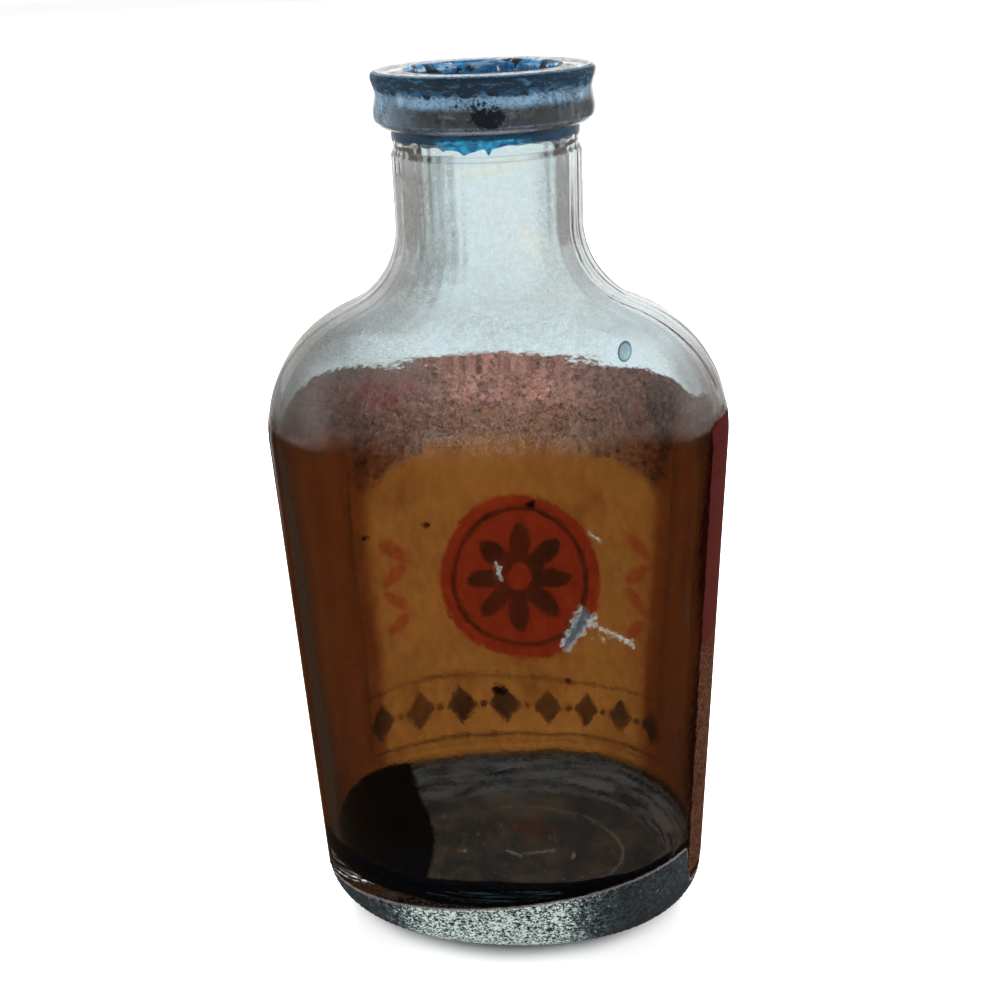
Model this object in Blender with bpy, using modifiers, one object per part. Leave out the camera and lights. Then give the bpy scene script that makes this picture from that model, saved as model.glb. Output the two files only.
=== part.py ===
# A flat oval glass bottle for laundry bluing, with its worn paper label and its dried bluing.
# The glass is one moulded piece. The label lies round the front and both ends, and the back is bare.
# Bluing has dried on the floor, inside the mouth, on the collar and in a ring under the collar.
# Lengths are in metres. +Z is up, the front looks towards +Y and the bare back towards -Y.
# The origin is on the surface that the bottle stands on, under the middle of the glass.

import math

import bmesh
import bpy

# Outer glass, seen from the front: the two narrow ends
foot_half_width = 0.0383
shoulder_half_width = 0.042
end_shoulder_height = 0.1005
end_shoulder_radius = 0.0255
end_shoulder_pitch = math.radians(23)
end_neck_fillet = 0.0155

# Outer glass, seen from an end: the two broad faces
foot_half_depth = 0.0264
shoulder_half_depth = 0.0292
face_shoulder_height = 0.107
face_shoulder_radius = 0.017
face_shoulder_pitch = math.radians(40)
face_neck_fillet = 0.013

# How square the oval is: 2 is an ellipse, and the neck is round
body_squareness = 2.1
round_squareness = 2.0

# Neck and collar: a narrower throat lies between the collar and the mould's parting step
neck_radius = 0.0163
neck_length = 0.0149
throat_radius = 0.0158
throat_height = 0.0032
parting_step = 0.0004
collar_height = 0.0105
lip_radius = 0.01885
lip_round = 0.0008
waist_radius = 0.0182
waist_drop = 0.0039
bulge_radius = 0.01865
bulge_drop = 0.0076
collar_edge_round = 0.0022

# Inside of the glass
wall = 0.003
bore_radius = 0.0122
bore_edge_round = 0.0012
base_thickness = 0.0095
inner_heel_radius = 0.0095

# Foot of the glass: a rounded heel, a flat bearing ring and a shallow recess
heel_radius = 0.01
bearing_width = 0.005
recess_depth = 0.0008
recess_slope_width = 0.002

# Space left between two pieces that touch
fit_gap = 0.0003

# Paper label: its wraps are shares of a whole turn, past the narrow ends and on to the back
label_bottom = 0.0086
label_top = 0.1065
label_thickness = 0.0003
label_right_wrap_share = 1 / 15
label_left_wrap_share = 2 / 45

# Dried bluing on the floor, thickest at the left end and along the back
pool_thickness = 0.0006
pool_left_rise = 0.0016
pool_back_rise = 0.0008

# Dried bluing in the mouth, on the collar and under it: the collar's crust covers a share of a turn
crust_thickness = 0.0003
mouth_film_drop = 0.0022
mouth_film_height = 0.0085
collar_crust_drop = 0.0016
collar_crust_height = 0.0068
collar_crust_turn_share = 5 / 12
drip_ring_drop = 0.0003
drip_ring_height = 0.0024

# How finely the round shapes are divided
ring_points = 64
label_steps = 48
crust_steps = 10
heel_steps = 5
edge_steps = 3
body_steps = 1
shoulder_steps = 13
collar_steps = 8


def clear_scene():
    for thing in list(bpy.data.objects):
        bpy.data.objects.remove(thing, do_unlink=True)


def smooth_step(share):
    share = min(max(share, 0.0), 1.0)
    return share * share * (3.0 - 2.0 * share)


class SideLine:
    """Half the width of the bottle at each height, in one plane: a leaning side, a round shoulder,
    a sloping shoulder, a hollow fillet and the upright neck, each tangent to the next."""

    def __init__(self, foot_half, shoulder_half, shoulder_height, shoulder_radius, pitch, fillet, neck_half):
        self.foot_half = foot_half
        self.neck_half = neck_half
        self.shoulder_height = shoulder_height
        self.lean = (shoulder_half - foot_half) / shoulder_height
        self.radius = shoulder_radius
        self.fillet = fillet
        stretch = math.hypot(1.0, self.lean)
        self.centre_half = shoulder_half - shoulder_radius / stretch
        self.centre_height = shoulder_height + shoulder_radius * self.lean / stretch
        self.slope = math.tan(pitch)
        self.slope_half = self.centre_half + shoulder_radius * math.sin(pitch)
        self.slope_height = self.centre_height + shoulder_radius * math.cos(pitch)
        corner_height = self.slope_height + (self.slope_half - neck_half) * self.slope
        reach = fillet * math.tan((math.pi / 2.0 - pitch) / 2.0)
        self.neck_height = corner_height + reach
        self.fillet_height = corner_height - reach * math.sin(pitch)

    def half(self, height):
        if height <= self.shoulder_height:
            return self.foot_half + self.lean * height
        if height <= self.slope_height:
            rise = height - self.centre_height
            return self.centre_half + math.sqrt(self.radius**2 - rise**2)
        if height <= self.fillet_height:
            return self.slope_half - (height - self.slope_height) / self.slope
        if height < self.neck_height:
            fall = self.neck_height - height
            return self.neck_half + self.fillet - math.sqrt(self.fillet**2 - fall**2)
        return self.neck_half


def glass_lines(inset, neck_half):
    """The end and face lines of the glass, moved in by an inset."""
    ends = SideLine(
        foot_half_width - inset,
        shoulder_half_width - inset,
        end_shoulder_height,
        end_shoulder_radius - inset,
        end_shoulder_pitch,
        end_neck_fillet + inset,
        neck_half,
    )
    faces = SideLine(
        foot_half_depth - inset,
        shoulder_half_depth - inset,
        face_shoulder_height,
        face_shoulder_radius - inset,
        face_shoulder_pitch,
        face_neck_fillet + inset,
        neck_half,
    )
    return ends, faces


outer_ends, outer_faces = glass_lines(0.0, neck_radius)
inner_ends, inner_faces = glass_lines(wall, bore_radius)
neck_foot = max(outer_ends.neck_height, outer_faces.neck_height)
inner_neck_foot = max(inner_ends.neck_height, inner_faces.neck_height)
collar_foot = neck_foot + neck_length
rim_height = collar_foot + collar_height


def squareness(height):
    """The oval turns round between the shoulder and the neck."""
    way = smooth_step((height - end_shoulder_height) / (neck_foot - end_shoulder_height))
    return body_squareness + (round_squareness - body_squareness) * way


def oval_point(half_width, half_depth, square, turn):
    across = math.cos(turn)
    along = math.sin(turn)
    power = 2.0 / square
    return (
        half_width * math.copysign(abs(across) ** power, across),
        half_depth * math.copysign(abs(along) ** power, along),
    )


def oval_ring(half_width, half_depth, square, height):
    ring = []
    for step in range(ring_points):
        x, y = oval_point(half_width, half_depth, square, math.tau * step / ring_points)
        ring.append((x, y, height))
    return ring


def round_ring(radius, height):
    return oval_ring(radius, radius, round_squareness, height)


def body_ring(ends, faces, height, inset):
    """One ring of the body at a height, drawn in by an inset."""
    return oval_ring(ends.half(height) - inset, faces.half(height) - inset, squareness(height), height)


def body_rings(ends, faces, low, neck_low):
    """Rings up the leaning sides and over the shoulder, from low to the foot of the neck."""
    rings = []
    for step in range(1, body_steps + 1):
        rings.append(body_ring(ends, faces, low + (end_shoulder_height - low) * step / body_steps, 0.0))
    for step in range(1, shoulder_steps + 1):
        height = end_shoulder_height + (neck_low - end_shoulder_height) * step / shoulder_steps
        rings.append(body_ring(ends, faces, height, 0.0))
    return rings


def heel_rings(ends, faces, radius, floor):
    """Rings up a rounded corner, from the floor to the upright side."""
    rings = []
    for step in range(heel_steps + 1):
        turn = math.pi / 2.0 * step / heel_steps
        height = floor + radius * (1.0 - math.cos(turn))
        rings.append(body_ring(ends, faces, height, radius * (1.0 - math.sin(turn))))
    return rings


def throat_rings():
    """Rings at the foot of the parting step and along the narrower throat to the collar."""
    throat_foot = collar_foot - throat_height
    return [
        round_ring(neck_radius, throat_foot - parting_step),
        round_ring(throat_radius, throat_foot),
        round_ring(throat_radius, collar_foot),
    ]


def collar_radius(drop):
    """The collar's outside: a lip, a hollow waist and a bulge, at a drop below the rim."""
    if drop <= waist_drop:
        way = smooth_step((drop - lip_round) / (waist_drop - lip_round))
        return lip_radius + (waist_radius - lip_radius) * way
    way = smooth_step((drop - waist_drop) / (bulge_drop - waist_drop))
    return waist_radius + (bulge_radius - waist_radius) * way


def collar_rings():
    rings = []
    for step in range(edge_steps + 1):
        turn = math.pi / 2.0 * step / edge_steps
        radius = bulge_radius - collar_edge_round * (1.0 - math.sin(turn))
        rings.append(round_ring(radius, collar_foot + collar_edge_round * (1.0 - math.cos(turn))))
    low_drop = collar_height - collar_edge_round
    for step in range(1, collar_steps + 1):
        drop = low_drop + (lip_round - low_drop) * step / collar_steps
        rings.append(round_ring(collar_radius(drop), rim_height - drop))
    for step in range(1, edge_steps + 1):
        turn = math.pi / 2.0 * step / edge_steps
        radius = lip_radius - lip_round * (1.0 - math.cos(turn))
        rings.append(round_ring(radius, rim_height - lip_round * (1.0 - math.sin(turn))))
    return rings


def bore_edge_rings():
    rings = []
    for step in range(edge_steps + 1):
        turn = math.pi / 2.0 * step / edge_steps
        radius = bore_radius + bore_edge_round * (1.0 - math.sin(turn))
        rings.append(round_ring(radius, rim_height - bore_edge_round * (1.0 - math.cos(turn))))
    return rings


def loft(name, rings, low_centre, high_centre):
    """One closed body through rings of equal point counts, closed by a fan at each end."""
    shape = bmesh.new()
    rows = [[shape.verts.new(point) for point in ring] for ring in rings]
    for low, high in zip(rows, rows[1:]):
        for step in range(len(low)):
            after = (step + 1) % len(low)
            shape.faces.new((low[step], low[after], high[after], high[step]))
    for row, centre in ((rows[0], low_centre), (rows[-1], high_centre)):
        middle = shape.verts.new(centre)
        for step in range(len(row)):
            shape.faces.new((row[step], row[(step + 1) % len(row)], middle))
    bmesh.ops.recalc_face_normals(shape, faces=shape.faces)
    mesh = bpy.data.meshes.new(name)
    shape.to_mesh(mesh)
    shape.free()
    return mesh


def sheet(name, rows, closed):
    """An open surface through rows of points, joined round when it is closed."""
    shape = bmesh.new()
    lines = [[shape.verts.new(point) for point in row] for row in rows]
    for low, high in zip(lines, lines[1:]):
        for step in range(len(low) if closed else len(low) - 1):
            after = (step + 1) % len(low)
            shape.faces.new((low[step], low[after], high[after], high[step]))
    mesh = bpy.data.meshes.new(name)
    shape.to_mesh(mesh)
    shape.free()
    return mesh


def make_material(name, colour, roughness, transmission=0.0):
    material = bpy.data.materials.new(name)
    material.use_nodes = True
    finish = material.node_tree.nodes["Principled BSDF"].inputs
    finish["Base Color"].default_value = (*colour, 1.0)
    finish["Metallic"].default_value = 0.0
    finish["Roughness"].default_value = roughness
    finish["Transmission Weight"].default_value = transmission
    finish["IOR"].default_value = 1.5
    return material


def make_piece(name, mesh, material, collection):
    piece = bpy.data.objects.new(name, mesh)
    mesh.materials.append(material)
    mesh.shade_smooth()
    collection.objects.link(piece)
    return piece


def thicken(piece, thickness, direction):
    """Gives an open surface its thickness, all on the side that direction names."""
    solid = piece.modifiers.new("Thickness", "SOLIDIFY")
    solid.thickness = thickness
    solid.offset = direction
    solid.use_even_offset = True


def make_glass(collection):
    bearing_inset = heel_radius + bearing_width
    recess_inset = bearing_inset + recess_slope_width
    rings = [
        oval_ring(foot_half_width - recess_inset, foot_half_depth - recess_inset, body_squareness, recess_depth),
        oval_ring(foot_half_width - bearing_inset, foot_half_depth - bearing_inset, body_squareness, 0.0),
    ]
    rings += heel_rings(outer_ends, outer_faces, heel_radius, 0.0)
    rings += body_rings(outer_ends, outer_faces, heel_radius, neck_foot)
    rings += throat_rings()
    rings += collar_rings()
    rings += bore_edge_rings()
    inner = heel_rings(inner_ends, inner_faces, inner_heel_radius, base_thickness)
    inner += body_rings(inner_ends, inner_faces, base_thickness + inner_heel_radius, inner_neck_foot)
    rings += reversed(inner)
    mesh = loft("glass_bottle", rings, (0.0, 0.0, recess_depth), (0.0, 0.0, base_thickness))
    make_piece("glass_bottle", mesh, make_material("clear_glass", (0.86, 0.93, 0.93), 0.03, 1.0), collection)


def heel_inset(height):
    """How far the rounded heel draws the outside in at a height."""
    below = max(heel_radius - height, 0.0)
    return heel_radius - math.sqrt(heel_radius**2 - below**2)


def make_label(collection):
    """The paper hugs the outside of the glass from past the right end, over the front, to past the left end."""
    heights = [label_bottom, heel_radius, end_shoulder_height]
    for step in range(1, edge_steps + 1):
        heights.append(end_shoulder_height + (label_top - end_shoulder_height) * step / edge_steps)
    first = -math.tau * label_right_wrap_share
    last = math.pi + math.tau * label_left_wrap_share
    rows = []
    for height in sorted(heights):
        outset = fit_gap - heel_inset(height)
        row = []
        for step in range(label_steps + 1):
            turn = first + (last - first) * step / label_steps
            x, y = oval_point(
                outer_ends.half(height) + outset,
                outer_faces.half(height) + outset,
                squareness(height),
                turn,
            )
            row.append((x, y, height))
        rows.append(row)
    mesh = sheet("paper_label", rows, closed=False)
    label = make_piece("paper_label", mesh, make_material("aged_paper", (0.42, 0.24, 0.11), 0.85), collection)
    thicken(label, label_thickness, 1.0)


def pool_top(x, y):
    """How far the dried bluing stands above its underside: it ran to the left end and the back."""
    leftness = smooth_step(0.5 - x / foot_half_width)
    backness = smooth_step(0.5 - y / foot_half_depth)
    return pool_thickness + pool_left_rise * leftness**2 + pool_back_rise * backness**2


def make_pool(collection):
    """Dried bluing on the floor, inside the rounded inner heel."""
    under = base_thickness + fit_gap
    hollow = inner_heel_radius - fit_gap
    rim = []
    for x, y, _ in body_ring(inner_ends, inner_faces, base_thickness, inner_heel_radius):
        rise = pool_top(x, y)
        reach = math.sqrt(hollow**2 - (hollow - rise) ** 2) - fit_gap
        grow = 1.0 + reach / math.hypot(x, y)
        rim.append((x * grow, y * grow, under + rise))
    foot = [(x, y, under) for x, y, _ in body_ring(inner_ends, inner_faces, base_thickness, inner_heel_radius)]
    middle = [(x / 2.0, y / 2.0, under + pool_top(x / 2.0, y / 2.0)) for x, y, _ in foot]
    top_centre = (0.0, 0.0, under + pool_top(0.0, 0.0))
    mesh = loft("dried_bluing_pool", [foot, rim, middle], (0.0, 0.0, under), top_centre)
    make_piece("dried_bluing_pool", mesh, make_material("dried_bluing", (0.010, 0.025, 0.060), 0.35), collection)


def make_mouth_film(collection):
    """A thin sleeve of dried bluing inside the bore, below the rounded rim."""
    radius = bore_radius - fit_gap
    high = rim_height - mouth_film_drop
    rows = [round_ring(radius, high - mouth_film_height), round_ring(radius, high)]
    mesh = sheet("mouth_film", rows, closed=True)
    film = make_piece("mouth_film", mesh, make_material("bluing_film", (0.02, 0.10, 0.25), 0.45), collection)
    thicken(film, crust_thickness, -1.0)


def make_collar_crust(collection):
    """A flaking patch of dried bluing on the back of the collar, which follows its hollow waist."""
    rows = []
    for level in range(crust_steps + 1):
        drop = collar_crust_drop + collar_crust_height * (1.0 - level / crust_steps)
        radius = collar_radius(drop) + fit_gap
        row = []
        for step in range(crust_steps + 1):
            turn = -math.pi / 2.0 + math.tau * collar_crust_turn_share * (step / crust_steps - 1.0 / 2.0)
            row.append((radius * math.cos(turn), radius * math.sin(turn), rim_height - drop))
        rows.append(row)
    mesh = sheet("collar_crust", rows, closed=False)
    crust = make_piece("collar_crust", mesh, make_material("bluing_crust", (0.015, 0.030, 0.070), 0.6), collection)
    thicken(crust, crust_thickness, 1.0)


def make_drip_ring(collection):
    """A ring of bluing that crept under the collar and dried round the neck."""
    radius = throat_radius + fit_gap
    high = collar_foot - drip_ring_drop
    rows = [round_ring(radius, high - drip_ring_height), round_ring(radius, high)]
    mesh = sheet("drip_ring", rows, closed=True)
    ring = make_piece("drip_ring", mesh, make_material("bright_bluing", (0.0, 0.16, 0.42), 0.3), collection)
    thicken(ring, crust_thickness, 1.0)


def main():
    clear_scene()
    bottle = bpy.data.collections.new("bluing_bottle")
    bpy.context.scene.collection.children.link(bottle)
    make_glass(bottle)
    make_label(bottle)
    make_pool(bottle)
    make_mouth_film(bottle)
    make_collar_crust(bottle)
    make_drip_ring(bottle)


main()
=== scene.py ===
# The looks of an old flat oval bottle for laundry bluing: clear pressed glass, a worn label, dried bluing.
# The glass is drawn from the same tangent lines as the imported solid, only finer. Everything else hugs it.

import functools
from math import cos, hypot, pi, radians, sin, sqrt, tan, tau

import bpy
import numpy as np
from mathutils import Matrix, Vector


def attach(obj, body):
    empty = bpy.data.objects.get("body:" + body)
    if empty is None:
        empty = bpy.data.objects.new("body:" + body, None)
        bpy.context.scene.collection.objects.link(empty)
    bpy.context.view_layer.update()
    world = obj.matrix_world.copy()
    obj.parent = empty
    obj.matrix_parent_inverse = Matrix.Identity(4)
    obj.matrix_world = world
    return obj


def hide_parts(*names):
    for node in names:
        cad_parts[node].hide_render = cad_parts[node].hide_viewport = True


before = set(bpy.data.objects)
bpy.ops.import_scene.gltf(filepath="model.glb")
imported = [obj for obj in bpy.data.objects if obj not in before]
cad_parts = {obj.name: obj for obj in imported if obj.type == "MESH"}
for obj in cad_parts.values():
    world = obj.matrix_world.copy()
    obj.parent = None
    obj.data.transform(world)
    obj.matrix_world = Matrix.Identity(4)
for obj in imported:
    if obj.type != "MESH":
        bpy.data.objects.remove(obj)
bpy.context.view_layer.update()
mm = 0.001
print("frame loaded:", ", ".join(sorted(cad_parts)))


# Shader helpers

def sign(operation, turned=False):  # an arithmetic sign between wires
    def apply(*values):
        return maths(operation, *(values[::-1] if turned else values))

    return apply


class Wire:  # one socket, so that shader maths is written as sums
    def __init__(self, board, socket):
        self.board = board
        self.socket = socket

    def other(self, name):
        return Wire(self.board, self.socket.node.outputs[name])

    __add__ = __radd__ = sign("ADD")
    __sub__ = sign("SUBTRACT")
    __rsub__ = sign("SUBTRACT", True)
    __mul__ = __rmul__ = sign("MULTIPLY")
    __truediv__ = sign("DIVIDE")
    __abs__ = sign("ABSOLUTE")


class Board:  # a node tree that nodes are laid on
    def __init__(self, tree):
        self.tree = tree
        tree.nodes.clear()

    def node(self, kind, settings, inputs, output=0):
        made = self.tree.nodes.new(kind)
        for key, value in settings.items():
            setattr(made, key, value)
        for key, value in inputs.items():
            socket = made.inputs[key]
            if isinstance(value, Wire):
                self.tree.links.new(value.socket, socket)
            else:
                socket.default_value = (*value, 1.0) if socket.type == "RGBA" else value
        return Wire(self, made.outputs[output]) if made.outputs else made

    def place(self):  # millimetres in the part's own frame
        return stretch(self.node("ShaderNodeTexCoord", {}, {}, "Object"), (1000.0, 1000.0, 1000.0))


def node(kind, settings, inputs, output=0):  # laid on the board that its wires come from
    board = next(value.board for value in inputs.values() if isinstance(value, Wire))
    return board.node(kind, settings, inputs, output)


def maths(operation, *values):
    return node("ShaderNodeMath", {"operation": operation}, dict(enumerate(values)))


def root(value):
    return maths("SQRT", value)


def most(*masks):
    return functools.reduce(lambda first, second: maths("MAXIMUM", first, second), masks)


def step(value, low, high):  # 0 below low, 1 above high, smooth between; low may be the larger
    inputs = {"Value": value, "From Min": low, "From Max": high}
    return node("ShaderNodeMapRange", {"interpolation_type": "SMOOTHSTEP"}, inputs)


def mix(share, first, second):
    return node("ShaderNodeMix", {"data_type": "RGBA"}, {0: share, 6: first, 7: second}, 2)


def stretch(place, factors):
    return node("ShaderNodeVectorMath", {"operation": "MULTIPLY"}, {0: place, 1: factors})


def added(first, second):
    return node("ShaderNodeVectorMath", {"operation": "ADD"}, {0: first, 1: second})


def tinted(colour, value):  # a colour made lighter or darker by a value
    return stretch(colour, node("ShaderNodeCombineXYZ", {}, {0: value, 1: value, 2: value}))


def noise(place, scale, detail=3.0, roughness=0.5, twist=0.0, output=0):
    inputs = {"Vector": place, "Scale": scale, "Detail": detail, "Roughness": roughness, "Distortion": twist}
    return node("ShaderNodeTexNoise", {}, inputs, output)


def cells(place, scale, feature="F1"):
    return node("ShaderNodeTexVoronoi", {"feature": feature}, {"Vector": place, "Scale": scale})


def parts(place):
    split = node("ShaderNodeSeparateXYZ", {}, {0: place})
    return split, split.other("Y"), split.other("Z")


def bump(height, distance, strength):
    return node("ShaderNodeBump", {}, {"Height": height, "Distance": distance, "Strength": strength})


def wandered(place, scale, reach):  # the place, shifted to and fro by a cloud
    return added(place, stretch(noise(place, scale, output="Color"), (reach, reach, reach)))


def slanted(first, second, centre, lean):  # along and beside a leaning line through a point
    first, second = first - centre[0], second - centre[1]
    along = first * cos(lean) + second * sin(lean)
    return along, second * cos(lean) - first * sin(lean)


def oval(first, second, centre, reach, wobble=0.0):  # 1 inside a soft-edged oval
    across = (first - centre[0]) / reach[0]
    along = (second - centre[1]) / reach[1]
    return step(across * across + along * along + wobble, 1.25, 0.75)


def principled(colour, roughness, more=None):
    inputs = {"Base Color": colour, "Roughness": roughness, **(more or {})}
    return node("ShaderNodeBsdfPrincipled", {}, inputs)


def blend(share, first, second):
    return node("ShaderNodeMixShader", {}, {0: share, 1: first, 2: second})


def finish(shader, kind="ShaderNodeOutputMaterial"):
    node(kind, {}, {"Surface": shader})


def newMaterial(name):
    material = bpy.data.materials.new(name)
    material.use_nodes = True
    return material, Board(material.node_tree)


def placedMaterial(name):
    material, board = newMaterial(name)
    return material, board.place()


# Mesh helpers

def makeMesh(name, points, faces, materials, smooth=True):
    mesh = bpy.data.meshes.new(name)
    mesh.from_pydata([tuple(point) for point in points], [], faces)
    mesh.update()
    for material in materials:
        mesh.materials.append(material)
    if smooth:
        mesh.shade_smooth()
    piece = bpy.data.objects.new(name, mesh)
    bpy.context.scene.collection.objects.link(piece)
    return piece


def ridePiece(piece, slotName, *nodes):
    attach(piece, "root")
    if nodes:
        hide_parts(*nodes)


def gridFaces(rows, columns, start, closed, flip=False):  # quads between rows of points
    faces = []
    for row in range(rows - 1):
        low = start + row * columns
        high = low + columns
        for column in range(columns if closed else columns - 1):
            after = (column + 1) % columns
            quad = (low + column, low + after, high + after, high + column)
            faces.append(quad[::-1] if flip else quad)
    return faces


def shellPiece(name, under, over, closed, materials, overSlot=0):  # a thin closed body of two skins
    rows, columns = under.shape[:2]
    count = rows * columns
    points = np.concatenate([under.reshape(-1, 3), over.reshape(-1, 3)])
    faces = gridFaces(rows, columns, 0, closed, True) + gridFaces(rows, columns, count, closed)
    slots = [0] * (len(faces) // 2) + [overSlot] * (len(faces) // 2)
    rim = []
    for row, turned in ((0, False), (rows - 1, True)):
        for column in range(columns if closed else columns - 1):
            low = row * columns + column
            after = row * columns + (column + 1) % columns
            quad = (low, after, after + count, low + count)
            rim.append(quad[::-1] if turned else quad)
    if not closed:
        for column, turned in ((0, True), (columns - 1, False)):
            for row in range(rows - 1):
                low = row * columns + column
                after = low + columns
                quad = (low, after, after + count, low + count)
                rim.append(quad[::-1] if turned else quad)
    faces += rim
    slots += [overSlot] * len(rim)
    piece = makeMesh(name, points, faces, materials)
    piece.data.polygons.foreach_set("material_index", slots)
    return piece


def quarter(count):  # turns from 0 to a right angle
    return np.linspace(0.0, pi / 2.0, count)


def smoothStep(share):
    share = np.clip(share, 0.0, 1.0)
    return share * share * (3.0 - 2.0 * share)


def hump(turns, centre, width):  # 1 at one turn, falling off on both sides
    gap = np.angle(np.exp(1j * (turns - centre)))
    return np.exp(-((gap / width) ** 2))


def frayed(draw, count, wide):  # seeded unevenness along an edge
    return np.convolve(draw.normal(size=count + wide - 1), np.ones(wide) / wide, "valid")


class Waves:  # smooth seeded unevenness over turn and height, between about -1 and 1
    def __init__(self, seed, turnsMost, reach, count=9):
        draw = np.random.default_rng(seed)
        self.turns = draw.integers(1, turnsMost + 1, count)
        self.rises = draw.uniform(-1.0, 1.0, count) * tau / reach
        self.starts = draw.uniform(0.0, tau, count)
        self.gain = 1.0 / sqrt(count)

    def at(self, turn, height):
        total = 0.0
        for turns, rise, start in zip(self.turns, self.rises, self.starts):
            total = total + np.sin(turns * turn + rise * height + start)
        return total * self.gain


# The glass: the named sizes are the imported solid's own, but for the collar, whose foot is 1.3 mm higher

glass = {
    "footHalfWidth": 0.0383,
    "shoulderHalfWidth": 0.042,
    "endShoulderHeight": 0.1005,
    "endShoulderRadius": 0.0255,
    "endShoulderPitch": radians(23),
    "endNeckFillet": 0.0155,
    "footHalfDepth": 0.0264,
    "shoulderHalfDepth": 0.0292,
    "faceShoulderHeight": 0.107,
    "faceShoulderRadius": 0.017,
    "faceShoulderPitch": radians(40),
    "faceNeckFillet": 0.013,
    "bodySquareness": 2.1,
    "roundSquareness": 2.0,
    "neckRadius": 0.0163,
    "neckLength": 0.0162,
    "throatRadius": 0.0158,
    "throatHeight": 0.0032,
    "partingStep": 0.0013,
    "collarHeight": 0.0092,
    "lipRadius": 0.01885,
    "lipRound": 0.0008,
    "lipDip": 0.00005,
    "waistRadius": 0.0182,
    "waistDrop": 0.0036,
    "bulgeRadius": 0.01865,
    "bulgeDrop": 0.0068,
    "collarEdgeRound": 0.0022,
    "wall": 0.003,
    "boreRadius": 0.0122,
    "boreEdgeRound": 0.0012,
    "baseThickness": 0.0095,
    "innerHeelRadius": 0.0095,
    "heelRadius": 0.01,
    "bearingWidth": 0.005,
    "recessDepth": 0.0008,
    "recessSlopeWidth": 0.002,
    "ringPoints": 512,
    "outerWave": 0.00005,
    "innerWave": 0.00014,
    "drawLine": 0.00005,
    "heelStipple": 0.0002,
    "stipplePitch": 0.0015,
    "stippleTop": 0.0095,
    "stippleTopBare": 0.0142,
    "stippleTilt": 0.12,
    "stippleFade": 0.0012,
    "seamHeight": 0.00012,
    "seamHalfWidth": 0.00035,
    "seamFoot": 0.108,  # the ridge shows from here up
    "seamFade": 0.004,
    "drawFoot": 0.121,  # the drawn lines start here, and lower near the narrow ends
    "drawEndFoot": 0.102,
    "collarDent": 0.00006,
    "evenTop": 0.019,  # rings lie closer together below this
    "tints": ((0.76, 0.857, 0.882), (0.81, 0.88, 0.88)),
    "straw": (0.88, 0.87, 0.74),
    # painted shade and painted glints on the knurled heel
    "heelPaintedShade": ((0.014, 0.024, 0.028), (0.075, 0.125, 0.135)),
    "heelEndsPaintedShade": (0.012, 0.017, 0.02),
    "heelGlint": (0.8, 0.95, 0.9),
}
glassTurns = np.arange(glass["ringPoints"]) * tau / glass["ringPoints"]


class SideLine:  # half the bottle's width at each height in one plane, each stretch tangent to the next
    def __init__(self, footHalf, shoulderHalf, shoulderHeight, shoulderRadius, pitch, fillet, neckHalf):
        self.footHalf = footHalf
        self.neckHalf = neckHalf
        self.shoulderHeight = shoulderHeight
        self.lean = (shoulderHalf - footHalf) / shoulderHeight
        self.radius = shoulderRadius
        self.fillet = fillet
        slant = hypot(1.0, self.lean)
        self.centreHalf = shoulderHalf - shoulderRadius / slant
        self.centreHeight = shoulderHeight + shoulderRadius * self.lean / slant
        self.slope = tan(pitch)
        self.slopeHalf = self.centreHalf + shoulderRadius * sin(pitch)
        self.slopeHeight = self.centreHeight + shoulderRadius * cos(pitch)
        cornerHeight = self.slopeHeight + (self.slopeHalf - neckHalf) * self.slope
        reach = fillet * tan((pi / 2.0 - pitch) / 2.0)
        self.neckHeight = cornerHeight + reach
        self.filletHeight = cornerHeight - reach * sin(pitch)

    def half(self, height):
        rise = height - self.centreHeight
        fall = np.maximum(self.neckHeight - height, 0.0)
        stretches = [
            self.footHalf + self.lean * height,
            self.centreHalf + np.sqrt(np.maximum(self.radius**2 - rise**2, 0.0)),
            self.slopeHalf - (height - self.slopeHeight) / self.slope,
            self.neckHalf + self.fillet - np.sqrt(np.maximum(self.fillet**2 - fall**2, 0.0)),
        ]
        tops = [self.shoulderHeight, self.slopeHeight, self.filletHeight, self.neckHeight]
        return np.select([height <= top for top in tops], stretches, self.neckHalf)


def sideLines(inset, neckHalf):  # at the narrow ends and at the broad faces
    g = glass
    lines = []
    for plane, way in (("end", "Width"), ("face", "Depth")):
        foot, shoulder = g["footHalf" + way] - inset, g["shoulderHalf" + way] - inset
        height, radius = g[plane + "ShoulderHeight"], g[plane + "ShoulderRadius"] - inset
        pitch, fillet = g[plane + "ShoulderPitch"], g[plane + "NeckFillet"] + inset
        lines.append(SideLine(foot, shoulder, height, radius, pitch, fillet, neckHalf))
    return lines


outerLines = sideLines(0.0, glass["neckRadius"])
innerLines = sideLines(glass["wall"], glass["boreRadius"])
neckFoot = max(line.neckHeight for line in outerLines)
innerNeckFoot = max(line.neckHeight for line in innerLines)
collarFoot = neckFoot + glass["neckLength"]
rimHeight = collarFoot + glass["collarHeight"]
outerWaves = Waves(4, 7, 0.05)
innerWaves = Waves(11, 8, 0.035)
drawWaves = Waves(71, 44, 0.25, 14)
stippleWaves = Waves(23, 40, 0.006)


def squareness(height):  # the oval turns round between the shoulder and the neck
    way = smoothStep((height - glass["endShoulderHeight"]) / (neckFoot - glass["endShoulderHeight"]))
    return glass["bodySquareness"] + (glass["roundSquareness"] - glass["bodySquareness"]) * way


def ovalRing(halfWidth, halfDepth, square, height, turns):
    across = np.cos(turns)
    along = np.sin(turns)
    power = 2.0 / square
    x = halfWidth * np.sign(across) * np.abs(across) ** power
    y = halfDepth * np.sign(along) * np.abs(along) ** power
    return np.stack([x, y, np.broadcast_to(height, x.shape)], axis=-1)


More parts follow.
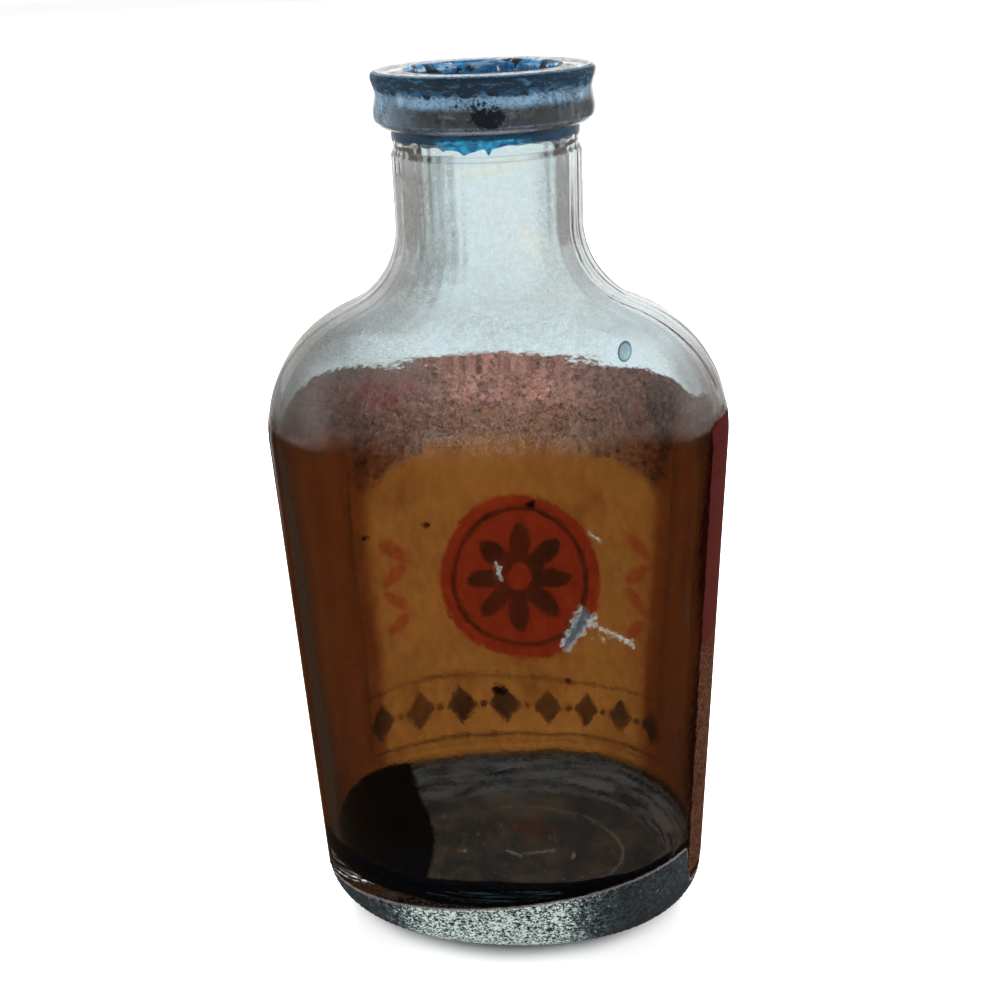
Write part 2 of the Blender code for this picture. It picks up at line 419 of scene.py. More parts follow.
def seamRidge(turns, height):  # the two halves of the mould met at the narrow ends
    off = np.abs(np.sin(turns)) * glass["neckRadius"]
    fade = smoothStep((height - glass["seamFoot"]) / glass["seamFade"])
    return glass["seamHeight"] * fade * np.exp(-((off / glass["seamHalfWidth"]) ** 2))


def stippleRise(turns, height):  # the heel is knurled in small uneven grains
    g = glass
    around = turns * g["footHalfWidth"] * 0.86
    grains = np.cos(tau * around / g["stipplePitch"] + 1.7 * stippleWaves.at(turns, height))
    rows = np.cos(tau * height / g["stipplePitch"] + 1.9 * stippleWaves.at(turns + 1.0, height))
    bare = smoothStep((-np.sin(turns) - 0.42) / 0.15)  # higher up where no paper covers it
    bareTop = g["stippleTopBare"] + g["stippleTilt"] * g["footHalfWidth"] * np.cos(turns)
    top = g["stippleTop"] + (bareTop - g["stippleTop"]) * bare
    fade = smoothStep((top - height) / g["stippleFade"]) * smoothStep((height - 0.0003) / 0.0008)
    return g["heelStipple"] * grains * rows * fade


def outerDent(turns, height):
    calm = smoothStep((height - 0.001) / 0.004)
    waves = glass["outerWave"] * outerWaves.at(turns, height) * calm
    return waves + seamRidge(turns, height) + stippleRise(turns, height) - glass["outerWave"]


def innerDent(turns, height):  # broad waves, and lines drawn down the neck as it was finished
    g = glass
    ends = smoothStep((height - g["drawEndFoot"]) / 0.011) * smoothStep((np.abs(np.cos(turns)) - 0.86) / 0.08)
    fade = np.maximum(smoothStep((height - g["drawFoot"]) / 0.008), ends)
    lines = g["drawLine"] * drawWaves.at(turns, height) * fade
    return g["innerWave"] * innerWaves.at(turns, height) + lines


def cornerInset(height, radius):  # how far a rounded foot draws in, from where its curve starts
    below = np.clip(radius - height, 0.0, radius)
    return radius - np.sqrt(radius**2 - below**2)


def bodyRing(lines, out, height, turns):
    ends, faces = lines
    return ovalRing(ends.half(height) + out, faces.half(height) + out, squareness(height), height, turns)


def outerRing(height, outset, turns):  # the glass's outside below the throat, moved out by an outset
    out = outset - cornerInset(height, glass["heelRadius"]) + outerDent(turns, height)
    return bodyRing(outerLines, out, height, turns)


def innerRing(height, lift, turns):  # the glass's inside, moved into the hollow by a lift
    inset = cornerInset(height - glass["baseThickness"], glass["innerHeelRadius"])
    return bodyRing(innerLines, innerDent(turns, height) - inset - lift, height, turns)


def roundRing(radius, height, turns=glassTurns):
    return ovalRing(radius, radius, glass["roundSquareness"], height, turns)


def collarRadius(drop):
    g = glass
    if drop <= g["waistDrop"]:
        way = smoothStep((drop - g["lipRound"]) / (g["waistDrop"] - g["lipRound"]))
        return g["lipRadius"] + (g["waistRadius"] - g["lipRadius"]) * way
    way = smoothStep((drop - g["waistDrop"]) / (g["bulgeDrop"] - g["waistDrop"]))
    radius = g["waistRadius"] + (g["bulgeRadius"] - g["waistRadius"]) * way
    under = g["collarHeight"] - drop
    if under < g["collarEdgeRound"]:
        rise = g["collarEdgeRound"] - under
        radius -= g["collarEdgeRound"] - sqrt(max(g["collarEdgeRound"] ** 2 - rise**2, 0.0))
    return radius


def collarPoints(drop, outset, turns):
    dent = glass["collarDent"] * (outerWaves.at(turns, drop * 4.0) - 1.0) + seamRidge(turns, rimHeight) * 0.5
    return roundRing(collarRadius(drop) + outset + dent, rimHeight - drop, turns)


def makeGlass(material):
    g = glass
    turns = glassTurns
    recessInset = g["heelRadius"] + g["bearingWidth"] + g["recessSlopeWidth"]
    rings = []
    wide, deep, square = g["footHalfWidth"], g["footHalfDepth"], g["bodySquareness"]
    for share in (0.06, 0.25, 0.5, 0.75):
        halves = (wide - recessInset) * share, (deep - recessInset) * share
        rings.append(ovalRing(*halves, square, g["recessDepth"], turns))
    for share in np.linspace(0.0, 1.0, 9):
        inset = recessInset - g["recessSlopeWidth"] * share
        height = g["recessDepth"] * (1.0 - smoothStep(share))
        rings.append(ovalRing(wide - inset, deep - inset, square, height, turns))
    for turn in quarter(44)[1:]:  # the rounded heel
        rings.append(outerRing(g["heelRadius"] * (1.0 - cos(turn)), 0.0, turns))
    throatFoot = collarFoot - g["throatHeight"]
    stops = (g["heelRadius"], g["evenTop"], g["endShoulderHeight"], neckFoot, throatFoot - g["partingStep"])
    for low, high, count in zip(stops, stops[1:], (26, 28, 66, 10)):
        rings += [outerRing(height, 0.0, turns) for height in np.linspace(low, high, count)[1:]]
    for share in np.linspace(0.0, 1.0, 9)[1:]:
        radius = g["neckRadius"] + (g["throatRadius"] - g["neckRadius"]) * smoothStep(share)
        rings.append(roundRing(radius - g["outerWave"], throatFoot - g["partingStep"] * (1.0 - share)))
    throat = g["throatRadius"] - g["outerWave"]
    rings += [roundRing(throat, height) for height in np.linspace(throatFoot, collarFoot, 8)[1:]]
    drops = list(g["collarHeight"] - g["collarEdgeRound"] * (1.0 - np.cos(quarter(10))))
    drops += list(np.linspace(g["collarHeight"] - g["collarEdgeRound"], g["lipRound"], 28)[1:])
    rings += [collarPoints(drop, 0.0, turns) for drop in drops]
    for turn in quarter(8)[1:]:
        radius = g["lipRadius"] - g["lipRound"] * (1.0 - cos(turn)) - g["collarDent"]
        rings.append(roundRing(radius, rimHeight - g["lipRound"] * (1.0 - sin(turn))))
    outer, inner = g["lipRadius"] - g["lipRound"], g["boreRadius"] + g["boreEdgeRound"]
    for share in np.linspace(0.0, 1.0, 6)[1:-1]:
        dip = g["lipDip"] * sin(share * pi)
        rings.append(roundRing(outer + (inner - outer) * share, rimHeight - dip))
    for turn in quarter(9):
        radius = g["boreRadius"] + g["boreEdgeRound"] * (1.0 - sin(turn))
        rings.append(roundRing(radius, rimHeight - g["boreEdgeRound"] * (1.0 - cos(turn))))
    floor, radius = g["baseThickness"], g["innerHeelRadius"]
    stops = (rimHeight - g["boreEdgeRound"], innerNeckFoot, g["endShoulderHeight"], floor + radius)
    for high, low, count in zip(stops, stops[1:], (16, 60, 24)):
        rings += [innerRing(height, 0.0, turns) for height in np.linspace(high, low, count)[1:]]
    for turn in quarter(28)[::-1][1:]:
        rings.append(innerRing(floor + radius * (1.0 - cos(turn)), 0.0, turns))
    edge = rings[-1]
    rings += [edge * np.array([share, share, 1.0]) for share in (0.85, 0.7, 0.5, 0.3, 0.1)]
    faces = gridFaces(len(rings), len(turns), 0, True)
    low = len(rings) * len(turns)
    points = np.concatenate([*rings, [[0.0, 0.0, g["recessDepth"]], [0.0, 0.0, floor]]])
    last = low - len(turns)
    for column in range(len(turns)):
        after = (column + 1) % len(turns)
        faces.append((after, column, low))
        faces.append((last + column, last + after, low + 1))
    ridePiece(makeMesh("glassBottle", points, faces, [material]), "clear_glass", "glass_bottle")


def glassMaterial():
    material, place = placedMaterial("agedClearGlass")
    x, y, z = parts(place)
    haze = noise(place, 0.09, 4.0, 0.6)
    grain = noise(place, 1.1, 3.0, 0.65)
    fine = noise(place, 3.2, 2.0, 0.6)
    tint = mix(step(haze, 0.35, 0.75), *glass["tints"])
    ragged = 5.0 * (grain - 0.5) + 3.0 * (fine - 0.5)
    straw = most(
        oval(x, z - 0.12 * x, (2.5, 149.6), (6.0, 1.1), ragged),
        oval(x + 0.7 * (z - 137.5), z, (8.6, 137.5), (1.6, 3.4), ragged),
    )
    tint = mix(straw * step(y, -4.0, -9.0) * 0.5, tint, glass["straw"])
    bare = step(y, -9.5, -12.5)
    heelTop = 8.8 + bare * (5.2 + 0.12 * x)
    heel = step(z - heelTop + 1.0 * (grain - 0.5), 0.5, -0.5)
    pebbles = cells(stretch(place, (1.0, 1.0, 1.3)), 0.85)
    height = haze * 0.3 + grain * (0.05 + 0.6 * heel) + pebbles * heel * 2.4
    optics = {"Transmission Weight": 1.0, "IOR": 1.5, "Specular Tint": (0.6, 0.6, 0.6)}
    optics["Normal"] = bump(height, 0.0003, 0.7)
    glassShader = principled(tint, 0.02 + 0.06 * step(haze, 0.45, 0.8) + 0.08 * heel, optics)
    # dried dust: specks all over and a granular bloom round the top of the label; on the knurled heel, painted
    # glints of white grains over painted shade that darkens towards both ends
    specks = step(fine + 0.25 * (haze - 0.5), 0.7, 0.76) * step(z, 100.0, 110.0)
    bloom = step(z, 104.0, 110.0) * step(z, 124.0, 115.0)
    crumbs = noise(place, 2.3, 2.0, 0.7)
    crackle = step(crumbs + 0.3 * (grain - 0.5), 0.5, 0.62)
    swirl = noise(stretch(place, (1.0, 1.0, 0.7)), 0.3, 3.0, 0.55, 0.8)
    crackle = most(crackle * 0.8, step(abs(swirl - 0.5), 0.03, 0.006) * 0.7)
    middle = step(abs(x - 2.0), 26.0, 6.0)
    shade = step(x, -6.0, -28.0) * step(z, 115.0, 120.0) * step(z, 135.0, 124.0)
    corner = most(step(x, -24.0, -34.0), 0.8 * step(x, 31.0, 38.0))
    corner = corner * step(z, 104.0, 106.5) * step(z, 124.0, 114.0)
    grains = noise(stretch(place, (0.8, 0.8, 1.5)), 2.0, 3.0, 0.75)
    dense = step(abs(x + 2.0), 25.0, 12.0)
    # painted glints: white grains over the knurled heel, fewer towards its ends
    glints = step(grains + 0.35 * (grain - 0.5) + 0.22 * dense, 0.69, 0.77)
    knurled = heel * step(z, 0.3, 0.9)
    film = step(z, 112.0, 128.0) * (0.03 + 0.07 * step(grain, 0.35, 0.75))
    bloom = bloom * (0.01 + (0.1 + 0.16 * middle) * crackle)
    mottle = step(fine + 0.5 * (haze - 0.5), 0.42, 0.6)
    grime = step(noise(place, 4.2, 2.0, 0.7) + 0.5 * (haze - 0.5), 0.56, 0.64)
    grime = grime * step(z, 110.0, 115.0) * (0.2 - 0.12 * step(z, 124.0, 134.0))
    sides = most(step(x, -5.0, -9.0), 0.45 * step(x, 6.5, 10.0))
    sides = sides * step(z, 124.0, 131.0) * step(z, 149.0, 147.5)
    sides = sides * (0.12 + 0.3 * step(grain + 0.3 * (mottle - 0.5), 0.35, 0.7))
    ledge = step(abs(z - (collarFoot - glass["throatHeight"]) / mm + 1.1), 0.26, 0.08) * 0.3
    veil = most(film, grime, sides, ledge)
    dustAndSparkle = 0.5 * specks + bloom + shade * (0.1 + 0.26 * mottle) + 0.85 * knurled + veil
    dustAndSparkle = dustAndSparkle + corner * (0.14 + 0.3 * mottle)
    # painted shade between the heel's glints, darker towards both ends
    heelShade = mix(step(grain, 0.42, 0.62), *glass["heelPaintedShade"])
    heelShade = mix(step(abs(x + 2.0), 16.0, 27.0) * 0.85, heelShade, glass["heelEndsPaintedShade"])
    heelSparkle = mix(glints, heelShade, glass["heelGlint"])
    pale = mix(heel, (0.6, 0.5, 0.46), heelSparkle)
    pale = mix(shade, pale, mix(mottle, (0.42, 0.4, 0.35), (0.13, 0.12, 0.11)))
    pale = mix(corner, pale, mix(mottle, (0.13, 0.105, 0.08), (0.045, 0.034, 0.027)))
    pale = mix(most(sides, ledge) * 4.0, pale, (0.33, 0.32, 0.3))
    pale = mix(grime * 3.0, pale, (0.22, 0.21, 0.18))
    pale = mix(specks, pale, (0.1, 0.1, 0.1))
    dustAndSparkleShader = principled(pale, 0.8)
    finish(blend(maths("MINIMUM", dustAndSparkle, 0.9), glassShader, dustAndSparkleShader))
    return material


makeGlass(glassMaterial())
print("glass made")


# The label: paper pasted round the front and both ends, seen from inside through the bare back

label = {
    "bottomEdge": ((-24, 11.4), (-4, 11.0), (12, 9.4), (26, 8.6), (196, 8.6)),  # worn away at the right end
    # turn in degrees and height in mm
    "topEdge": (
        (-24, 105.6), (0, 105.8), (27, 105.0), (34, 105.9), (48, 106.5), (61, 106.1),
        (77, 106.2), (91, 107.0), (105, 107.0), (111, 107.2), (122, 108.0), (134, 108.6),
        (145, 108.2), (157, 107.6), (170, 106.6), (196, 104.6),
    ),
    "topFray": 0.0003,
    "bottomFray": 0.00015,
    "endFray": radians(0.7),
    "inside": 0.00003,
    "outside": 0.0001,
    "rightWrap": radians(24),
    "leftWrap": radians(16),
    "columns": 460,
    "rows": 170,
    # place across and up, and half width, in mm
    "spots": ((-5.0, 31.5, 1.2), (10.5, 35.5, 0.7), (3.5, 75.0, 0.8), (-19.0, 71.5, 0.7), (-33.0, 72.0, 0.5)),
    # place across and up, lean, half length
    "scratches": ((-3.5, 60.0, -1.25, 2.6), (-3.5, 60.0, 0.9, 1.5), (17.4, 68.4, -0.6, 1.6)),
    "innerColours": {
        "amber": ((0.6, 0.285, 0.105), (0.74, 0.38, 0.145)),
        "brown": (0.52, 0.21, 0.085),
        "red": (0.58, 0.18, 0.09),
        "ink": (0.28, 0.15, 0.08),
    },
    "outerColours": {
        "amber": ((0.42, 0.27, 0.13), (0.56, 0.37, 0.19)),
        "brown": (0.25, 0.11, 0.055),
        "red": (0.4, 0.055, 0.035),
        "ink": (0.06, 0.035, 0.025),
    },
    "tornThrough": (0.36, 0.4, 0.44),
    "bareEdge": (0.95, 0.95, 0.92),
}


def makeLabel(paperBack, paperFront):
    s = label
    turns = np.linspace(-s["rightWrap"], pi + s["leftWrap"], s["columns"])
    draw = np.random.default_rng(8)
    fray = frayed(draw, s["columns"], 5)
    tops = np.interp(np.degrees(turns), *zip(*s["topEdge"])) * mm + s["topFray"] * fray
    ragged = s["bottomFray"] * frayed(draw, s["columns"], 7)
    bottoms = np.interp(np.degrees(turns), *zip(*s["bottomEdge"])) * mm + ragged
    shares = np.linspace(0.0, 1.0, s["rows"])[:, None]
    heights = bottoms + (tops - bottoms) * shares
    nearEnd = np.exp(-np.arange(s["columns"]) / 3.0)
    for inward, weight in ((1.0, nearEnd), (-1.0, nearEnd[::-1])):
        ends = frayed(draw, s["rows"], 5)[:, None]
        turns = turns + inward * s["endFray"] * np.abs(ends) * weight
    skins = [outerRing(heights, outset, turns) for outset in (-s["inside"], s["outside"])]
    piece = shellPiece("paperLabel", *skins, False, [paperBack, paperFront], 1)
    middle = skins[1][s["rows"] // 2]
    steps = np.concatenate([[0.0], np.cumsum(np.linalg.norm(np.diff(middle, axis=0), axis=1))])
    centre = np.interp(pi / 2.0, turns[s["rows"] // 2], steps)
    acrossMm = (centre - steps) / mm  # to the right as seen from the bare back
    points = np.array([vertex.co for vertex in piece.data.vertices])
    across = np.tile(acrossMm, s["rows"] * 2)
    loops = np.zeros(len(piece.data.loops), dtype=np.int32)
    piece.data.loops.foreach_get("vertex_index", loops)
    layer = piece.data.uv_layers.new(name="labelMap")
    flat = np.stack([across[loops], points[loops, 2] / mm], axis=-1)
    layer.data.foreach_set("uv", flat.astype(np.float32).ravel())
    ridePiece(piece, "aged_paper", "paper_label")
    print("label from", round(float(acrossMm[-1]), 1), "to", round(float(acrossMm[0]), 1), "mm")


def printMasks(across, up):  # a plain traditional print: rules, a lozenge chain, a petalled rosette
    def bar(value, centre, half, soft=0.12):
        return step(abs(value - centre), half + soft, half - soft)

    def chain(centreUp, pitch, halfHigh):  # a row of lozenges with a pellet between each two
        wave = maths("PINGPONG", across + 100.0, pitch / 2.0)
        lozenge = step(wave / (pitch * 0.36) + abs(up - centreUp) / halfHigh, 1.06, 0.94)
        far = pitch / 2.0 - wave
        pellet = step(far * far + (up - centreUp) * (up - centreUp), 0.9, 0.5)
        return most(lozenge, pellet)

    inside = step(abs(across), 36.5, 36.0)
    rules = most(bar(up, 21.0, 0.35), bar(up, 19.4, 0.15), bar(up, 35.2, 0.22))
    dark = most(rules, chain(28.2, 9.6, 4.6)) * inside
    sides = most(bar(abs(across), 36.6, 0.3), bar(abs(across), 38.0, 0.15))
    sides = sides * step(up, 19.0, 19.6) * step(up, 92.6, 92.0)
    dark = most(dark, sides)
    dx = across - 1.0
    dy = up - 58.5
    far = root(dx * dx + dy * dy * 0.86)
    angle = maths("ARCTAN2", dy, dx)
    petals = abs(maths("COSINE", angle * 4.0))
    rosette = step(far - (4.5 + 7.0 * petals), 0.4, -0.4) * step(far, 2.6, 3.0)
    ring = bar(far, 14.4, 0.5)
    disc = step(far, 17.6, 17.2)
    dark = most(dark, most(rosette, ring) * disc)
    sprigs = []
    for sideways in (-27.0, 27.5):
        for rise, tilt in ((50.0, 0.7), (56.0, -0.7), (62.0, 0.7), (68.0, -0.7)):
            along, beside = slanted(across, up, (sideways, rise), tilt)
            sprigs.append(step(along * along / 14.0 + beside * beside / 2.2, 1.1, 0.9))
    return dark, disc, most(*sprigs)


def wornMasks(across, up, place):  # a long tear, a crossed scratch, flecks and dark spots
    jag = noise(place, 0.9, 4.0, 0.7)
    along = (across - 13.0) * 0.53 + (up - 47.7) * 0.848
    aside = (across - 13.0) * 0.848 - (up - 47.7) * 0.53 + 2.6 * (jag - 0.5)
    half = 1.15 + 0.07 * along  # wider at its upper end
    length = step(abs(along), 5.6, 4.9)
    tear = step(abs(aside) - half, 0.15, -0.15) * length
    edge = step(abs(abs(aside) - half - 0.1), 0.35, 0.12) * step(abs(along), 6.0, 5.4)
    beside = up - 49.6 + 0.3 * (across - 17.0) + 3.4 * (jag - 0.5)
    branch = step(abs(beside), 0.45, 0.15) * step(abs(across - 21.5), 7.0, 6.0)
    scratches = []
    for *centre, lean, reach in label["scratches"]:
        over, beside = slanted(across, up, centre, lean)
        beside = beside + 0.7 * (jag - 0.5)
        scratches.append(step(abs(beside), 0.28, 0.1) * step(abs(over), reach, reach - 0.7))
    flecks = step(jag, 0.6, 0.64) * oval(across, up, (22.0, 46.5), (7.0, 2.0))
    spots = []
    for *centre, reach in label["spots"]:
        spots.append(oval(across, up, centre, (reach * 1.3, reach), 0.8 * (jag - 0.5)))
    return most(edge, branch, flecks, *scratches), tear, most(*spots)


def paperMaterial(name, seenThroughGlass):
    material, board = newMaterial(name)
    across, up, _ = parts(board.node("ShaderNodeUVMap", {"uv_map": "labelMap"}, {}))
    place = board.place()
    dark, disc, sprigs = printMasks(across, up)
    white, tear, spots = wornMasks(across, up, place)
    cloud = noise(place, 0.04, 4.0, 0.55)
    blotch = noise(stretch(place, (1.0, 1.0, 0.45)), 0.16, 4.0, 0.6, 0.4)
    fibres = noise(stretch(place, (1.0, 1.0, 0.3)), 1.0, 3.0, 0.7)
    speck = noise(place, 2.2, 2.0, 0.6)
    lump = noise(place, 0.3, 3.0, 0.6)
    # the top of the paper has crumbled into pinkish grains, down to an arched edge
    outward = step(abs(across), 30.0, 36.0)
    bandLow = most(88.5 - across * across * 0.0062, outward * 93.0) + 6.0 * (lump - 0.5)
    band = step((up - bandLow) / (1.0 + 2.0 * outward), -1.0, 2.0)
    curl = noise(place, 0.85, 2.0, 0.55, 0.8)
    grain = step(speck + 0.25 * (lump - 0.5) + 0.2 * (fibres - 0.5), 0.5, 0.58) * 0.75
    grain = most(grain, step(abs(curl - 0.5), 0.055, 0.025))
    colours = label["innerColours" if seenThroughGlass else "outerColours"]
    brown, red = colours["brown"], colours["red"]
    if seenThroughGlass:
        lowly = step(up, 101.0, 92.0)  # browner towards the lower edge
        ground = mix(lowly, (0.1, 0.032, 0.03), (0.16, 0.072, 0.04))
        crumbs = mix(grain, ground, mix(lowly, (0.98, 0.64, 0.58), (0.85, 0.54, 0.35)))
    else:
        crumbs = mix(grain, (0.16, 0.062, 0.048), (0.5, 0.33, 0.28))
    side = step(abs(across + 0.5), 29.5, 34.0)
    colour = mix(side * 0.9, mix(cloud, *colours["amber"]), brown)
    colour = mix(step(blotch, 0.5, 0.78) * 0.45, colour, brown)
    colour = mix(step(blotch, 0.45, 0.25) * 0.25, colour, red)
    colour = mix(disc * 0.85, colour, red)
    colour = mix(sprigs * 0.5, colour, red)
    colour = mix(dark * (0.55 + 0.35 * step(blotch, 0.7, 0.35)), colour, colours["ink"])
    colour = tinted(colour, 0.53 + 0.6 * fibres + 0.5 * speck)
    rust = oval(across, up, (-31.0, 102.0), (12.0, 3.8), 2.4 * (lump - 0.5) + 1.6 * (speck - 0.5))
    crumbs = mix(rust * (0.6 - 0.35 * grain), crumbs, (0.55, 0.07, 0.06))
    damp = oval(across, up, (32.0, 98.5), (3.8, 5.5), 4.0 * (lump - 0.5) + 2.0 * (speck - 0.5))
    crumbs = mix(damp * (0.85 - 0.4 * grain), crumbs, (0.07, 0.11, 0.13))
    # painted light and shade: the crumbled band is made lighter in the middle towards its top, and darker
    # towards both sides
    lit = (0.25 + 0.45 * step(up, 93.0, 100.0)) * step(abs(across), 22.0, 8.0)
    crumbs = tinted(crumbs, 1.0 + lit - 0.45 * step(abs(across), 22.0, 38.0))
    browner = stretch(crumbs, (1.0, 0.76, 0.6))
    crumbs = mix(step(abs(across), 18.0, 34.0), crumbs, browner)
    colour = mix(band * 0.88, colour, crumbs)
    # the end that wraps towards the bare back: dark red above, crumbled brown below
    wrap = step(across, 52.0, 58.0)
    crust = mix(grain, (0.06, 0.018, 0.008), (0.33, 0.115, 0.05))
    crust = mix(step(up + 10.0 * (lump - 0.5), 58.0, 66.0), crust, (0.2, 0.016, 0.014))
    colour = mix(wrap * 0.9, colour, crust)
    if seenThroughGlass:  # near black along its lowest few millimetres, and a warmer left end
        colour = mix(step(across, -46.0, -52.0) * 0.6, colour, (0.72, 0.3, 0.14))
        colour = mix(step(up, 18.5, 15.5) * 0.92, colour, (0.03, 0.026, 0.024))
    colour = mix(tear * 0.9, colour, label["tornThrough"])
    colour = mix(white, colour, label["bareEdge"])
    colour = mix(spots * 0.9, colour, (0.03, 0.02, 0.02))
    height = fibres * 0.4 + most(band, wrap) * grain * 1.2 + blotch * 0.3 - tear * 0.8
    surface = {"Specular IOR Level": 0.25, "Normal": bump(height, 0.0002, 0.8)}
    shader = principled(colour, 0.72 - 0.15 * blotch, surface)
    glow = node("ShaderNodeBsdfTranslucent", {}, {"Color": colour})
    finish(blend(0.72, shader, glow))
    return material


makeLabel(paperMaterial("paperSeenThroughGlass", True), paperMaterial("paperOutside", False))
print("label made")


# Dried bluing on the floor: a dark pool at the left end and a navy line along the back

pool = {
    "columns": 300,
    "rows": 60,
    "sunk": 0.00002,
    "thickness": 0.00018,
    "floorStart": 0.02,
    "top": 1.92,  # how far it reaches up the corner: 1 is the corner's foot, 2 the wall's
    "topLeft": 0.14,
    "topWave": 0.04,
    "leftTurn": radians(172),
    "leftWidth": 0.62,
    # small bright curls: place x and y, lean, half length, in mm
    "hooks": ((0.5, -2.6, -0.5, 2.4), (5.5, -1.7, 0.22, 3.6), (-10.5, -2.0, 0.1, 1.3), (12.3, -2.5, 1.4, 1.5)),
    "navy": ((0.002, 0.01, 0.026), (0.005, 0.026, 0.052)),
    "plum": ((0.003, 0.005, 0.006), (0.008, 0.01, 0.011)),
    "film": ((0.21, 0.225, 0.225), (0.42, 0.37, 0.31)),
    # the colour of bright scratches and of painted glints
    "scratchesAndGlints": (0.98, 1.0, 0.95),
}


def innerPathRing(reach, lift, turns):  # reach below 1 is the floor, to 2 the rounded corner, then the wall
    g = glass
    bend = np.clip(reach - 1.0, 0.0, 1.0) * pi / 2.0
    above = np.maximum(reach - 2.0, 0.0) * 0.01
    height = g["baseThickness"] + g["innerHeelRadius"] * (1.0 - np.cos(bend)) + above
    points = innerRing(height, lift * np.sin(bend), turns)
    points[..., :2] *= np.minimum(reach, 1.0)[..., None]
    points[..., 2] += lift * np.cos(bend)
    return points


def makePool(material):
    s = pool
    turns = np.arange(s["columns"]) * tau / s["columns"]
    top = s["top"] + s["topLeft"] * hump(turns, s["leftTurn"], s["leftWidth"])
    top += s["topWave"] * Waves(51, 11, 0.05).at(turns, 0.0)
    shares = np.linspace(0.0, 1.0, s["rows"])[:, None]
    reach = s["floorStart"] + (top - s["floorStart"]) * shares
    skins = [innerPathRing(reach, lift, turns) for lift in (-s["sunk"], s["thickness"])]
    ridePiece(shellPiece("driedPool", *skins, True, [material]), "dried_bluing", "dried_bluing_pool")


def poolMaterial():
    material, place = placedMaterial("driedBluing")
    x, y, z = parts(place)
    cloud = noise(place, 0.1, 4.0, 0.6)
    fine = noise(place, 0.9, 4.0, 0.65)
    bend = most(y + 6.0, 0.0)
    shore = x + 16.3 + bend * bend * 0.011 + 1.6 * (cloud - 0.5)
    left = step(shore, 0.5, -0.5)
    near = step(y + 1.5 * (cloud - 0.5), -11.5, -13.0)
    thick = most(left, near)
    streaks = noise(stretch(place, (0.12, 1.0, 1.6)), 1.1, 3.0, 0.6)
    navy = mix(cloud, *pool["navy"])
    navy = mix(step(streaks, 0.6, 0.7) * near * 0.4, navy, (0.06, 0.15, 0.21))
    # painted glints: pale blue streaks in a patch on the navy up the near corner
    lines = noise(stretch(place, (0.09, 0.3, 2.6)), 1.0, 3.0, 0.6)
    shine = oval(x, z - 0.06 * x, (-1.5, 14.9), (12.0, 1.7), 1.2 * (fine - 0.5))
    navy = mix(step(lines, 0.5, 0.58) * shine * near * 0.85, navy, (0.42, 0.74, 0.82))
    plum = mix(fine, *pool["plum"])
    colour = mix(step(y, -6.0, 4.0) * left, navy, plum)
    # the thin film on the floor and up the far corner, with a scar, a few bright scratches and painted glints;
    # up the corner its pale arcs are painted reflections and two bright patches are painted highlights
    film = mix(step(cloud, 0.4, 0.65), *pool["film"])
    corner = step(z, 10.0, 11.5)
    # pale arcs up the far corner: painted reflections of the curved inner heel
    reflectedArcs = noise(stretch(place, (0.05, 0.05, 1.0)), 2.0, 4.0, 0.65)
    slope = mix(step(reflectedArcs, 0.42, 0.55), (0.14, 0.16, 0.2), (1.0, 1.0, 1.0))
    slope = mix(step(z, 15.0, 12.0) * 0.2, slope, (0.1, 0.12, 0.16))
    # two bright patches up the far corner: painted highlights
    highlightStreak = oval(x, z, (15.5, 12.4), (6.0, 0.55), 1.6 * (fine - 0.5)) * step(y, 8.0, 12.0)
    highlightSmear = oval(y, z, (6.5, 12.8), (4.5, 0.9), 1.6 * (fine - 0.5)) * step(x, 24.0, 27.0)
    slope = mix(most(highlightStreak, highlightSmear) * 0.9, slope, (1.0, 1.0, 0.96))
    film = mix(corner, film, slope)
    scarX = x / 22.4
    scarY = (y + 1.0) / 15.5
    ring = root(scarX * scarX + scarY * scarY)
    scar = step(abs(ring - 1.0 + 0.02 * (fine - 0.5)), 0.016, 0.005) * step(x, -8.0, -2.0)
    scar = scar * step(fine, 0.34, 0.5)
    hooks = []
    for *centre, lean, half in pool["hooks"]:
        over, beside = slanted(x, y, centre, lean)
        beside = beside + 0.9 * (fine - 0.5)
        hooks.append(step(abs(beside), 0.42, 0.2) * step(abs(over), half, half - 0.8))
    # small bright specks on the floor: painted glints
    glintSpecks = step(noise(place, 1.7, 2.0, 0.5), 0.675, 0.7) * step(z, 9.75, 9.65)
    warm = oval(x, y, (4.0, 6.5), (5.0, 3.0), 3.0 * (fine - 0.5))
    film = mix(warm * 0.5, film, (0.42, 0.2, 0.09))
    film = mix(most(scar * 0.8, glintSpecks, *hooks), film, pool["scratchesAndGlints"])
    colour = mix(thick, film, colour)
    cover = 0.9 - corner * 0.22 - 0.1 * step(fine, 0.55, 0.75)
    fade = step(z + 2.0 * (cloud - 0.5), 18.2, 15.5)
    alpha = most(thick * step(z, 18.9, 18.3), cover * fade)
    surface = {"Specular IOR Level": 0.03, "Alpha": alpha, "Normal": bump(fine + streaks * 0.5, 0.0002, 0.5)}
    finish(principled(colour, 0.22 + 0.3 * fine, surface))
    return material


makePool(poolMaterial())
print("dried pool made")


# Bluing in the mouth, on the collar and under it

